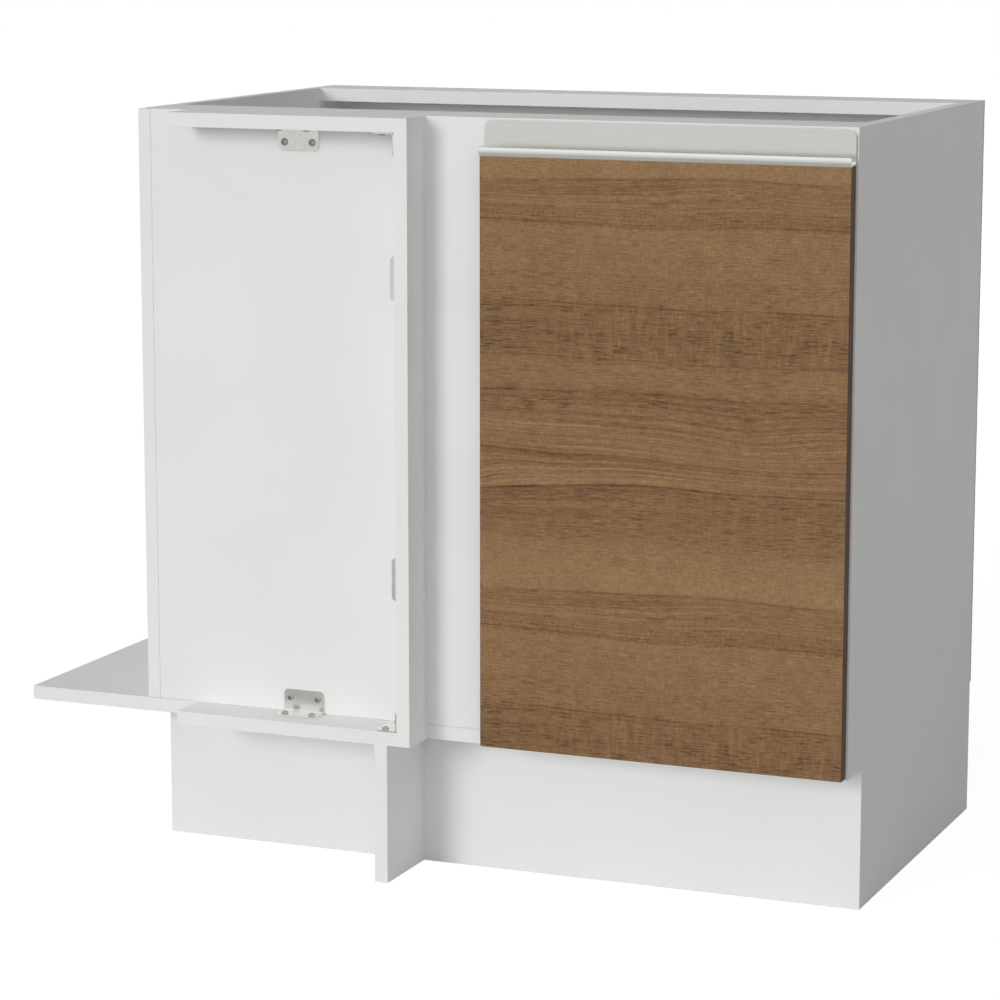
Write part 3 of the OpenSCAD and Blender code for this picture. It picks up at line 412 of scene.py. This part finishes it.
# Pieces
meshing = {"merge": 0.001, "flat": 0.5}  # points this near are one, and faces this level are one


def startFrom(nodeName):
    bm = bmesh.new()
    bm.from_mesh(nodes[nodeName].data)
    bmesh.ops.remove_doubles(bm, verts=bm.verts, dist=meshing["merge"] * mm)
    bmesh.ops.dissolve_limit(bm, angle_limit=math.radians(meshing["flat"]), verts=bm.verts, edges=bm.edges)
    return bm


def finishPiece(bm, pieceName, nodeName, smoothAngle=None):
    if smoothAngle is not None:
        for face in bm.faces:
            face.smooth = True
        for edge in bm.edges:
            edge.smooth = len(edge.link_faces) == 2 and edge.calc_face_angle() < math.radians(smoothAngle)
    mesh = bpy.data.meshes.new(pieceName)
    bm.to_mesh(mesh)
    bm.free()
    if "custom_normal" in mesh.attributes:  # these came with the CAD mesh and don't fit the new faces
        mesh.attributes.remove(mesh.attributes["custom_normal"])
    mesh.materials.clear()
    mesh.materials.append(finishes[slotOf[nodeName]])
    piece = bpy.data.objects.new(pieceName, mesh)
    bpy.context.scene.collection.objects.link(piece)
    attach(piece, bodyOf[nodeName])
    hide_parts(nodeName)
    if smoothAngle is not None:  # flat faces stay flat beside their rounded edges
        weights = piece.modifiers.new("flatFaces", "WEIGHTED_NORMAL")
        weights.keep_sharp = True
    return piece


def bevelEdges(bm, edges, radius):
    bmesh.ops.bevel(bm, geom=edges, offset=radius * mm, offset_type="OFFSET", segments=2, profile=0.5,
                    affect="EDGES", clamp_overlap=True, material=-1)


def sidesOf(edge, box, near):  # the sides of the box that an edge lies in, by axis
    a, b = (vert.co for vert in edge.verts)
    return {axis: end[axis] for axis in range(3) for end in box
            if abs(a[axis] - b[axis]) < near and abs(a[axis] - end[axis]) < near}


# Boards: the outer edges are eased, except where a board lies flush against its neighbour
boards = {
    "easing": 0.45, "wideEasing": 1.1, "wide": ["left_side", "fixed_front"],
    # how near is touching, in millimetres, the probes along an edge, and the share left out at each end
    "near": 0.05, "probes": 21, "ends": 0.01,
    "flush": {
        "left_side": ["front_rail", "rear_rail", "back_panel"],
        "right_side": ["front_rail", "rear_rail", "back_panel", "front_strip", "bottom_panel"],
        "bottom_panel": ["right_side", "back_panel", "spacer_upright"],
        "front_rail": ["left_side", "right_side", "fixed_front", "front_strip"],
        "rear_rail": ["left_side", "right_side", "back_panel"],
        "front_strip": ["front_rail", "fixed_front", "right_side"],
        "fixed_front": ["front_rail", "front_strip", "spacer_top"],
        "shelf": [],
        "plinth_front": ["bottom_panel", "plinth_left", "plinth_right", "right_side"],
        "plinth_rear": ["bottom_panel", "plinth_left", "plinth_right", "right_side"],
        "plinth_left": ["bottom_panel", "plinth_front", "plinth_rear"],
        "plinth_right": ["plinth_front", "plinth_rear"],
        "plinth_return": ["plinth_front"],
        "spacer_top": ["spacer_upright", "fixed_front"],
        "spacer_upright": ["spacer_top", "spacer_bottom", "fixed_front", "bottom_panel"],
        "spacer_bottom": ["spacer_upright", "bottom_panel", "fixed_front"],
    },
}


def outerEdges(bm, name, neighbours):
    low, high = boxOf[name]
    near, ends = boards["near"] * mm, boards["ends"]
    picked = []
    for edge in bm.edges:
        sides = sidesOf(edge, boxOf[name], near)
        if len(sides) != 2:
            continue
        touched = False
        for step in range(boards["probes"]):
            share = ends + (1 - 2 * ends) * step / (boards["probes"] - 1)
            point = [sides.get(axis, low[axis] + (high[axis] - low[axis]) * share) for axis in range(3)]
            for otherLow, otherHigh in (boxOf[other] for other in neighbours):
                if all(otherLow[axis] - near <= point[axis] <= otherHigh[axis] + near for axis in range(3)):
                    touched = True
        if not touched and edge.calc_length() > near:
            picked.append(edge)
    return picked


for name, neighbours in boards["flush"].items():
    bm = startFrom(name)
    easing = boards["wideEasing"] if name in boards["wide"] else boards["easing"]
    bevelEdges(bm, outerEdges(bm, name, neighbours), easing)
    finishPiece(bm, name + "_board", name)
print("boards eased:", len(boards["flush"]))


# Pressed and extruded parts: the burr is off every sharp edge, by this radius
softened = {
    "bracket_top_mid": 0.2, "bracket_bottom_mid": 0.2, "bracket_top_corner": 0.2, "bracket_bottom_corner": 0.2,
    "bracket_upright_upper": 0.2, "bracket_upright_lower": 0.2,
    "hinge_cup_upper": 0.15, "hinge_cup_lower": 0.15, "hinge_link_upper": 0.1, "hinge_link_lower": 0.1,
    "hinge_arm_upper": 0.15, "hinge_arm_lower": 0.15, "hinge_plate_upper": 0.2, "hinge_plate_lower": 0.2,
    "handle_profile": 0.15,
}
burrs = {"sharp": 50, "smooth": 32}  # degrees between two faces
# the lip's front leans back towards its top, so that it catches the light from above: millimetres,
# the number of bands it is cut into, and how far up the lip the lean goes on, as a share of its height
lip = {"front": -238.3, "bottom": 776.7, "top": 781.6, "lean": 1.2, "steps": 5, "reach": 1.1}


def crownLip(bm):
    tall = lip["top"] - lip["bottom"]
    for step in range(1, lip["steps"]):
        cut = Vector((0, 0, (lip["bottom"] + tall * step / lip["steps"]) * mm))
        bmesh.ops.bisect_plane(bm, geom=bm.verts[:] + bm.edges[:] + bm.faces[:], plane_co=cut, plane_no=(0, 0, 1))
    for vert in bm.verts:
        rise = (vert.co.z / mm - lip["bottom"]) / tall
        if vert.co.y / mm < lip["front"] and 0 < rise < lip["reach"]:
            vert.co.y += lip["lean"] * rise * rise * mm


for name, radius in softened.items():
    bm = startFrom(name)
    if name == "handle_profile":
        crownLip(bm)
    sharp = [e for e in bm.edges if len(e.link_faces) == 2 and e.calc_face_angle() > math.radians(burrs["sharp"])]
    bevelEdges(bm, sharp, radius)
    finishPiece(bm, name + "_formed", name, smoothAngle=burrs["smooth"])
print("metal parts formed:", len(softened))


# Screws: a domed head with a cross recess on a pointed shank, one for each screw in the node
screws = {
    "nodes": ["bracket_screws", "hinge_cup_screws", "hinge_arm_screws", "hinge_plate_screws", "handle_screws"],
    # the head's rings and its cross, as shares of the head's radius and height
    "segments": 24, "rounding": [(1.0, 0.25), (0.96, 0.5), (0.86, 0.75), (0.68, 0.93)],
    "crossArm": 0.52, "crossWidth": 0.15, "crossRim": 0.985, "crossDepth": 0.6, "crossTaper": 0.72,
    # the point's length in millimetres and its share of the shank, and the turns in degrees
    "point": 3, "tip": 0.2, "firstTurn": 12, "nextTurn": 37, "smooth": 35,
    # the head of a CAD screw starts at this share of its radius, and its shank at this radius in millimetres
    "headFrom": 0.95, "shankFrom": 0.1,
}
# the screws' zinc is the bracket zinc painted darker: painted shade and dark reflection in its colour
zincPaintedDark = platedMetal("zinc_plate_painted_dark")


def islandsOf(bm):
    reached = set()
    for start in bm.verts:  # in their own order, so that each screw always gets the same turn
        if start in reached:
            continue
        reached.add(start)
        island, waiting = [], [start]
        while waiting:
            vert = waiting.pop()
            island.append(vert.co.copy())
            for edge in vert.link_edges:
                other = edge.other_vert(vert)
                if other not in reached:
                    reached.add(other)
                    waiting.append(other)
        yield island


def screwFrames(nodeName):  # where each CAD screw's head sits, which way it points, and its sizes
    bm = startFrom(nodeName)
    for points in islandsOf(bm):
        low = Vector([min(p[axis] for p in points) for axis in range(3)])
        high = Vector([max(p[axis] for p in points) for axis in range(3)])
        size, middle = high - low, (low + high) / 2
        axis = max(range(3), key=lambda k: size[k])
        along = Vector([float(k == axis) for k in range(3)])
        radii = [(p[axis], (p - middle - along * (p[axis] - middle[axis])).length) for p in points]
        widest = max(radius for _, radius in radii)
        head = [at for at, radius in radii if radius > widest * screws["headFrom"]]
        up = 1 if max(head) > middle[axis] else -1
        base = middle.copy()
        base[axis] = min(head) if up > 0 else max(head)
        tall = max(head) - min(head)
        yield {"base": base, "axis": along * up, "headRadius": widest, "headHeight": tall, "length": size[axis] - tall,
               "shankRadius": min(radius for _, radius in radii if radius > screws["shankFrom"] * mm)}
    bm.free()


def extrudeRing(bm, edges):  # the new ring's points and edges
    made = bmesh.ops.extrude_edge_only(bm, edges=edges)["geom"]
    verts = [g for g in made if isinstance(g, bmesh.types.BMVert)]
    return verts, [g for g in made if isinstance(g, bmesh.types.BMEdge) and all(v in verts for v in g.verts)]


def growRing(bm, edges, radius, height):
    verts, ring = extrudeRing(bm, edges)
    now = max(vert.co.xy.length for vert in verts)
    for vert in verts:
        vert.co = Vector((vert.co.x * radius / now, vert.co.y * radius / now, height))
    return ring


def screwMesh(size):
    radius, height = size["headRadius"], size["headHeight"]
    bm = bmesh.new()
    bmesh.ops.create_circle(bm, segments=screws["segments"], radius=radius)
    start = list(bm.edges)
    edges = start
    for wide, tall in screws["rounding"]:
        edges = growRing(bm, edges, radius * wide, height * tall)
    # the cross, with its walls leaning in to the bottom: three points for each of its four arms
    arm, half = radius * screws["crossArm"], radius * screws["crossWidth"]
    spots = [Vector((arm, -half, 0)), Vector((arm, half, 0)), Vector((half, half, 0))]
    before = set(bm.edges)
    rim = bmesh.ops.create_circle(bm, segments=4 * len(spots), radius=arm)["verts"]
    for i, vert in enumerate(rim):
        turn = Matrix.Rotation(math.radians(90 * (i // len(spots))), 4, "Z")
        vert.co = turn @ spots[i % len(spots)] + Vector((0, 0, height * screws["crossRim"]))
    cross = [edge for edge in bm.edges if edge not in before]
    bmesh.ops.bridge_loops(bm, edges=edges + cross)
    bottomVerts, bottomEdges = extrudeRing(bm, cross)
    taper = screws["crossTaper"]
    for vert in bottomVerts:
        vert.co = Vector((vert.co.x * taper, vert.co.y * taper, height * (1 - screws["crossDepth"])))
    bmesh.ops.contextual_create(bm, geom=bottomEdges)
    # the shank and its point
    shank, length = size["shankRadius"], size["length"]
    edges = growRing(bm, start, shank, 0)
    edges = growRing(bm, edges, shank, -length + screws["point"] * mm)
    edges = growRing(bm, edges, shank * screws["tip"], -length)
    bmesh.ops.contextual_create(bm, geom=edges)
    bmesh.ops.recalc_face_normals(bm, faces=bm.faces)
    mesh = bpy.data.meshes.new("screw")
    bm.to_mesh(mesh)
    bm.free()
    return mesh


for name in screws["nodes"]:
    gathered = bmesh.new()
    for i, size in enumerate(screwFrames(name)):
        template = screwMesh(size)
        first = len(gathered.verts)
        gathered.from_mesh(template)
        gathered.verts.ensure_lookup_table()
        # each cross stops at its own angle
        spin = Matrix.Rotation(math.radians(screws["nextTurn"] * i + screws["firstTurn"]), 4, "Z")
        turn = size["axis"].to_track_quat("Z", "Y").to_matrix().to_4x4()
        bmesh.ops.transform(gathered, matrix=Matrix.Translation(size["base"]) @ turn @ spin,
                            verts=gathered.verts[first:])
        bpy.data.meshes.remove(template)
    driven = finishPiece(gathered, name + "_driven", name, smoothAngle=screws["smooth"])
    driven.data.materials[0] = zincPaintedDark
print("screws driven:", len(screws["nodes"]), "sets")


# Door: the band is eased a little along the door's rim, and the wood's face stays square inside it
door = {"easing": 0.3, "near": 0.01, "shortest": 1}
for name in ("door_panel", "door_edge_band"):
    bm = startFrom(name)
    if name == "door_edge_band":
        rim = [edge for edge in bm.edges if len(sidesOf(edge, boxOf[name], door["near"] * mm)) == 2
               and edge.calc_length() > door["shortest"] * mm]
        bevelEdges(bm, rim, door["easing"])
    finishPiece(bm, name + "_faced", name)
print("door faced")


# Floor, light and background
studio = {
    "white": (1, 1, 1, 1),
    # the soft light, its lean, and the two suns: degrees wide, round from the front to the left, and up
    "ambient": 0.356, "ambientLean": (0.05, -0.32, 0.0),
    "key": {"strength": 1.105, "size": 22, "azimuth": 20, "height": 15},
    "backFill": {"strength": 0.9, "size": 30, "azimuth": 145, "height": 8},
    # what metal mirrors: how bright the walls are, the ceiling, and the dark end in its direction
    "walls": 0.635, "ceiling": 0.86, "ceilingFrom": 0.3,
    "darkEnd": (0.5, 0.85, 0.0), "darkEndLevel": 0.5, "darkEndFrom": 0.1, "darkEndFull": 0.8,
    # the floor: half its width in metres, its drop in millimetres, and the distances over which metal sees it pale
    "floor": "#E6E6E6", "floorSize": 20, "floorDrop": 0.2, "floorShadow": 0.25, "floorGlow": 1.22,
    "floorNear": 1.2, "floorFar": 3.5,
}


def rayKinds(tree):  # seen by the camera or through a clear thing, and seen in a mirror
    rays = addNode(tree, "ShaderNodeLightPath")
    direct = addNode(tree, "ShaderNodeMath", {
        0: rays.outputs["Is Camera Ray"], 1: rays.outputs["Is Transmission Ray"]}, operation="MAXIMUM")
    return direct, rays.outputs["Is Glossy Ray"]


world = bpy.data.worlds.new("studio")
world.use_nodes = True
tree = world.node_tree
tree.nodes.clear()
heading = addNode(tree, "ShaderNodeTexCoord").outputs["Generated"]
direct, glossy = rayKinds(tree)
# the soft light is stronger from the front than from behind, and a little stronger from the right
lean = addNode(tree, "ShaderNodeVectorMath", {0: heading, 1: studio["ambientLean"]}, operation="DOT_PRODUCT")
level = addNode(tree, "ShaderNodeMath", {0: lean.outputs["Value"], 1: studio["ambient"]})
ambient = addNode(tree, "ShaderNodeBackground", {"Color": studio["white"], "Strength": level})
# metal sees pale walls and a white ceiling
upwards = addNode(tree, "ShaderNodeSeparateXYZ", {"Vector": heading}).outputs["Z"]
walls = addNode(tree, "ShaderNodeMapRange", {
    "Value": upwards, "From Min": 0.0, "From Max": studio["ceilingFrom"],
    "To Min": studio["walls"], "To Max": studio["ceiling"]})
# and a darker end of the room, behind the cabinet on the right, that draws its edges
darkEnd = addNode(tree, "ShaderNodeVectorMath", {0: heading, 1: studio["darkEnd"]}, operation="DOT_PRODUCT")
darkEnd = addNode(tree, "ShaderNodeMapRange", {
    "Value": darkEnd.outputs["Value"], "From Min": studio["darkEndFrom"], "From Max": studio["darkEndFull"],
    "To Min": 1.0, "To Max": studio["darkEndLevel"]})
walls = addNode(tree, "ShaderNodeMath", {0: walls, 1: darkEnd}, operation="MULTIPLY")
mirrored = addNode(tree, "ShaderNodeBackground", {"Color": studio["white"], "Strength": walls})
white = addNode(tree, "ShaderNodeBackground", {"Color": studio["white"], "Strength": 1.0})
both = addNode(tree, "ShaderNodeMixShader", {0: glossy, 1: ambient, 2: mirrored})
both = addNode(tree, "ShaderNodeMixShader", {0: direct, 1: both, 2: white})
addNode(tree, "ShaderNodeOutputWorld", {"Surface": both})
bpy.context.scene.world = world

floorMaterial = bpy.data.materials.new("studio_floor")
floorMaterial.use_nodes = True
tree = floorMaterial.node_tree
tree.nodes.clear()
direct, glossy = rayKinds(tree)
matt = addNode(tree, "ShaderNodeBsdfDiffuse", {"Color": linear(studio["floor"])})
glow = addNode(tree, "ShaderNodeEmission", {"Color": studio["white"], "Strength": studio["floorGlow"]})
far = addNode(tree, "ShaderNodeEmission", {"Color": studio["white"], "Strength": studio["walls"]})
# in reflections the floor pales into the walls with distance
place = addNode(tree, "ShaderNodeTexCoord").outputs["Object"]
reach = addNode(tree, "ShaderNodeVectorMath", {0: place}, operation="LENGTH").outputs["Value"]
reach = addNode(tree, "ShaderNodeMapRange", {
    "Value": reach, "From Min": studio["floorNear"], "From Max": studio["floorFar"]})
share = addNode(tree, "ShaderNodeMath", {0: glossy, 1: reach}, operation="MULTIPLY")
both = addNode(tree, "ShaderNodeMixShader", {0: share, 1: matt, 2: far})
# the camera sees white, with only this much of the object's shadow
share = addNode(tree, "ShaderNodeMath", {0: direct, 1: 1 - studio["floorShadow"]}, operation="MULTIPLY")
both = addNode(tree, "ShaderNodeMixShader", {0: share, 1: both, 2: glow})
addNode(tree, "ShaderNodeOutputMaterial", {"Surface": both})
floorShape = bmesh.new()
bmesh.ops.create_grid(floorShape, x_segments=1, y_segments=1, size=studio["floorSize"])
floorMesh = bpy.data.meshes.new("floor")
floorShape.to_mesh(floorMesh)
floorShape.free()
floorMesh.materials.append(floorMaterial)
floor = bpy.data.objects.new("floor", floorMesh)
bpy.context.scene.collection.objects.link(floor)
floor.location.z = -studio["floorDrop"] * mm  # just under the plinth, so that no two faces share a plane


def addSun(name):
    sun = studio[name]
    lamp = bpy.data.lights.new(name, "SUN")
    lamp.energy = sun["strength"]
    lamp.angle = math.radians(sun["size"])
    holder = bpy.data.objects.new(name, lamp)
    bpy.context.scene.collection.objects.link(holder)
    a, h = math.radians(sun["azimuth"]), math.radians(sun["height"])
    towards = Vector((-math.sin(a) * math.cos(h), -math.cos(a) * math.cos(h), math.sin(h)))
    holder.rotation_mode = "QUATERNION"
    holder.rotation_quaternion = towards.to_track_quat("Z", "Y")
    holder.visible_glossy = False  # the metal reflects the white studio, not a bare lamp


addSun("key")
addSun("backFill")
print("studio lit")

# Camera: the photograph's viewing angle and lens
view = {"place": (1.435, -3.473, 1.036), "azimuth": 22.44, "down": 10.03, "lens": 123.5, "sensor": 36, "farthest": 100}
cameraData = bpy.data.cameras.new("photoCamera")
cameraData.sensor_width = view["sensor"]
cameraData.lens = view["lens"]
cameraData.clip_end = view["farthest"]
camera = bpy.data.objects.new("photoCamera", cameraData)
bpy.context.scene.collection.objects.link(camera)
camera.location = view["place"]
a, e = math.radians(view["azimuth"]), math.radians(view["down"])
ahead = Vector((-math.sin(a) * math.cos(e), math.cos(a) * math.cos(e), -math.sin(e)))
camera.rotation_mode = "QUATERNION"
camera.rotation_quaternion = ahead.to_track_quat("-Z", "Y")
bpy.context.scene.camera = camera
bpy.context.scene.view_settings.view_transform = "Standard"
